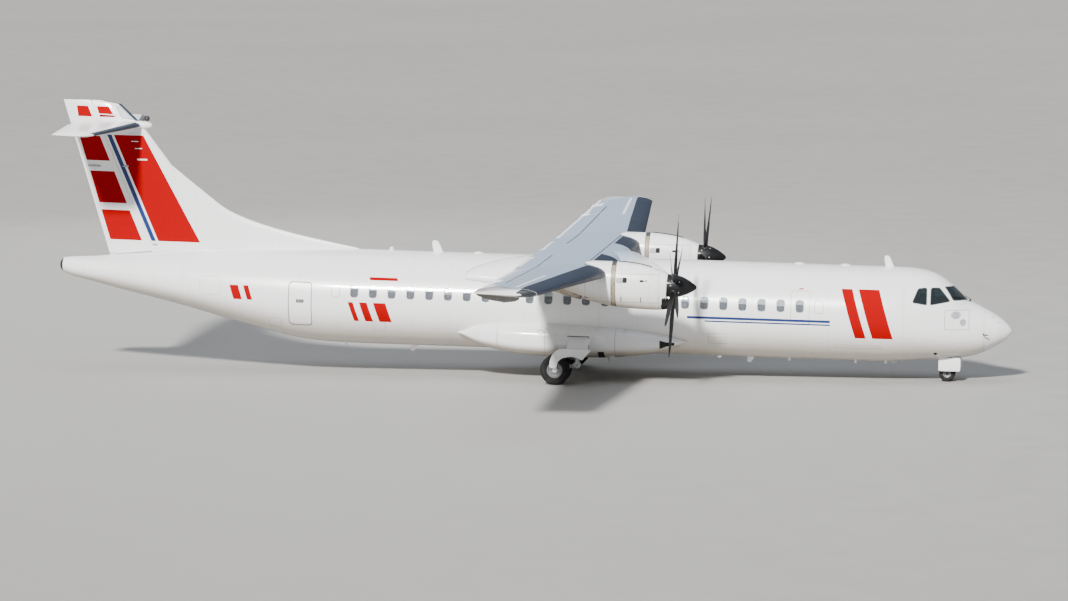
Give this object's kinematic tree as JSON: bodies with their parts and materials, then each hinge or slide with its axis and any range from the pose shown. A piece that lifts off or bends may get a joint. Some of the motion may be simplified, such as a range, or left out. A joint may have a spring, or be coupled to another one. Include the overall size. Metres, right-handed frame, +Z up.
{
  "type": "turboprop airliner",
  "caption": "High-wing regional airliner with a T-tail, wing-mounted turboprop engines with slender-bladed propellers, and landing gear in a belly fairing, parked on its wheels.",
  "frame": {"origin": "on the ground, at the middle of the aircraft's length and on its centre plane", "axes": "+X to the nose, +Y to port (the left wing tip), +Z up"},
  "size_m": [27.1436, 27.05, 7.6855],
  "materials": {
    "white_paint": "gloss white paint",
    "belly_paint": "satin pale grey paint",
    "glazing": "tinted glazing",
    "cab_trim": "matte grey",
    "black_paint": "satin black paint",
    "tyre_rubber": "matte rubber",
    "wheel_alloy": "satin cast alloy",
    "gear_paint": "satin pale paint",
    "exhaust_metal": "heat stained bare metal",
    "engine_metal": "dull machined metal"
  },
  "bodies": {
    "airframe": {"wing_left": "white_paint", "wing_right": "white_paint", "wing_centre": "white_paint", "cockpit_section": "white_paint", "windscreen_left": "glazing", "side_window_front_left": "glazing", "side_window_rear_left": "glazing", "windscreen_right": "glazing", "side_window_front_right": "glazing", "side_window_rear_right": "glazing", "flight_deck": "cab_trim", "radome": "white_paint", "forward_fuselage": "white_paint", "centre_fuselage": "white_paint", "rear_fuselage": "white_paint", "tail_cone": "white_paint", "service_door": "white_paint", "wing_fairing": "white_paint", "belly_fairing": "belly_paint", "nacelle_left": "white_paint", "engine_left": "engine_metal", "exhaust_left": "exhaust_metal", "nacelle_right": "white_paint", "engine_right": "engine_metal", "exhaust_right": "exhaust_metal", "fin": "white_paint", "tailplane": "white_paint", "nose_gear_door_left": "white_paint", "nose_gear_door_right": "white_paint", "main_gear_leg_left": "gear_paint", "main_gear_door_left": "white_paint", "main_gear_leg_right": "gear_paint", "main_gear_door_right": "white_paint", "nose_gear_leg": "gear_paint"},
    "nose_steering": {"nose_fork": "gear_paint"},
    "nose_wheels": {"nose_wheel_hubs": "wheel_alloy", "nose_wheel_tyre_port": "tyre_rubber", "nose_wheel_tyre_starboard": "tyre_rubber"},
    "main_wheels_left": {"main_wheel_left_hubs": "wheel_alloy", "main_wheel_left_tyre_port": "tyre_rubber", "main_wheel_left_tyre_starboard": "tyre_rubber"},
    "main_wheels_right": {"main_wheel_right_hubs": "wheel_alloy", "main_wheel_right_tyre_port": "tyre_rubber", "main_wheel_right_tyre_starboard": "tyre_rubber"},
    "propeller_left": {"propeller_left": "black_paint", "spinner_left": "black_paint"},
    "propeller_right": {"propeller_right": "black_paint", "spinner_right": "black_paint"},
    "passenger_door": {"passenger_door": "white_paint"},
    "cargo_door": {"cargo_door": "white_paint"},
    "rudder": {"rudder": "white_paint"},
    "elevator_left": {"elevator_left": "white_paint"},
    "elevator_right": {"elevator_right": "white_paint"},
    "aileron_left": {"aileron_left": "white_paint"},
    "aileron_right": {"aileron_right": "white_paint"},
    "flap_inboard_left": {"flap_inboard_left": "white_paint"},
    "flap_outboard_left": {"flap_outboard_left": "white_paint"},
    "flap_inboard_right": {"flap_inboard_right": "white_paint"},
    "flap_outboard_right": {"flap_outboard_right": "white_paint"}
  },
  "joints": [
    {"name": "nose_steering", "type": "hinge", "parent": "airframe", "child": "nose_steering", "pos_m": [11.78723, 0, 0.505], "axis": [0, 0, 1], "range_deg": [-60, 60]},
    {"name": "nose_wheels", "type": "hinge", "parent": "nose_steering", "child": "nose_wheels", "pos_m": [11.78723, 0, 0.22223], "axis": [0, 1, 0], "continuous": true},
    {"name": "main_wheels_left", "type": "hinge", "parent": "airframe", "child": "main_wheels_left", "pos_m": [0.99723, 2.05, 0.41641], "axis": [0, 1, 0], "continuous": true},
    {"name": "main_wheels_right", "type": "hinge", "parent": "airframe", "child": "main_wheels_right", "pos_m": [0.99723, -2.05, 0.41641], "axis": [0, 1, 0], "continuous": true},
    {"name": "propeller_left", "type": "hinge", "parent": "airframe", "child": "propeller_left", "pos_m": [4.34356, 4.05, 3.01897], "axis": [0.998, 0, -0.0637], "continuous": true},
    {"name": "propeller_right", "type": "hinge", "parent": "airframe", "child": "propeller_right", "pos_m": [4.34356, -4.05, 3.01897], "axis": [0.998, 0, -0.0637], "continuous": true},
    {"name": "passenger_door", "type": "hinge", "parent": "airframe", "child": "passenger_door", "pos_m": [-6.86554, 1.17028, 1.43262], "axis": [-0.9998, 0, 0.0201], "range_deg": [0, 136]},
    {"name": "cargo_door", "type": "hinge", "parent": "airframe", "child": "cargo_door", "pos_m": [8.60794, 1.28726, 2.44727], "axis": [0.9998, 0, -0.0201], "range_deg": [0, 110]},
    {"name": "rudder", "type": "hinge", "parent": "airframe", "child": "rudder", "pos_m": [-10.90869, 0, 3.30914], "axis": [-0.3733, 0, 0.9277], "range_deg": [-27, 27]},
    {"name": "elevator_left", "type": "hinge", "parent": "airframe", "child": "elevator_left", "pos_m": [-12.4974, 0.15, 6.99985], "axis": [0.0167, -0.9998, 0.0125], "range_deg": [-23, 13]},
    {"name": "elevator_right", "type": "hinge", "parent": "airframe", "child": "elevator_right", "pos_m": [-12.4974, -0.15, 6.99985], "axis": [-0.0167, -0.9998, -0.0125], "range_deg": [-23, 13]},
    {"name": "aileron_left", "type": "hinge", "parent": "airframe", "child": "aileron_left", "pos_m": [0.89943, 9.4, 3.62873], "axis": [0.016, -0.999, -0.0409], "range_deg": [-14, 14]},
    {"name": "aileron_right", "type": "hinge", "parent": "airframe", "child": "aileron_right", "pos_m": [0.89943, -9.4, 3.62873], "axis": [-0.016, -0.999, 0.0409], "range_deg": [-14, 14]},
    {"name": "flap_inboard_left", "type": "hinge", "parent": "airframe", "child": "flap_inboard_left", "pos_m": [0.97617, 1.53, 3.43208], "axis": [0, -1, 0], "range_deg": [0, 35]},
    {"name": "flap_inboard_right", "type": "hinge", "parent": "airframe", "child": "flap_inboard_right", "pos_m": [0.97617, -1.53, 3.43208], "axis": [0, -1, 0], "range_deg": [0, 35]},
    {"name": "flap_outboard_left", "type": "hinge", "parent": "airframe", "child": "flap_outboard_left", "pos_m": [0.97521, 4.66, 3.43453], "axis": [0.016, -0.999, -0.0409], "range_deg": [0, 35]},
    {"name": "flap_outboard_right", "type": "hinge", "parent": "airframe", "child": "flap_outboard_right", "pos_m": [0.97521, -4.66, 3.43453], "axis": [-0.016, -0.999, 0.0409], "range_deg": [0, 35]}
  ],
  "couplings": [
    {"joint": "elevator_right", "follows": "elevator_left", "ratio": 1},
    {"joint": "aileron_right", "follows": "aileron_left", "ratio": -1},
    {"joint": "flap_outboard_left", "follows": "flap_inboard_left", "ratio": 1},
    {"joint": "flap_inboard_right", "follows": "flap_inboard_left", "ratio": 1},
    {"joint": "flap_outboard_right", "follows": "flap_inboard_left", "ratio": 1}
  ]
}
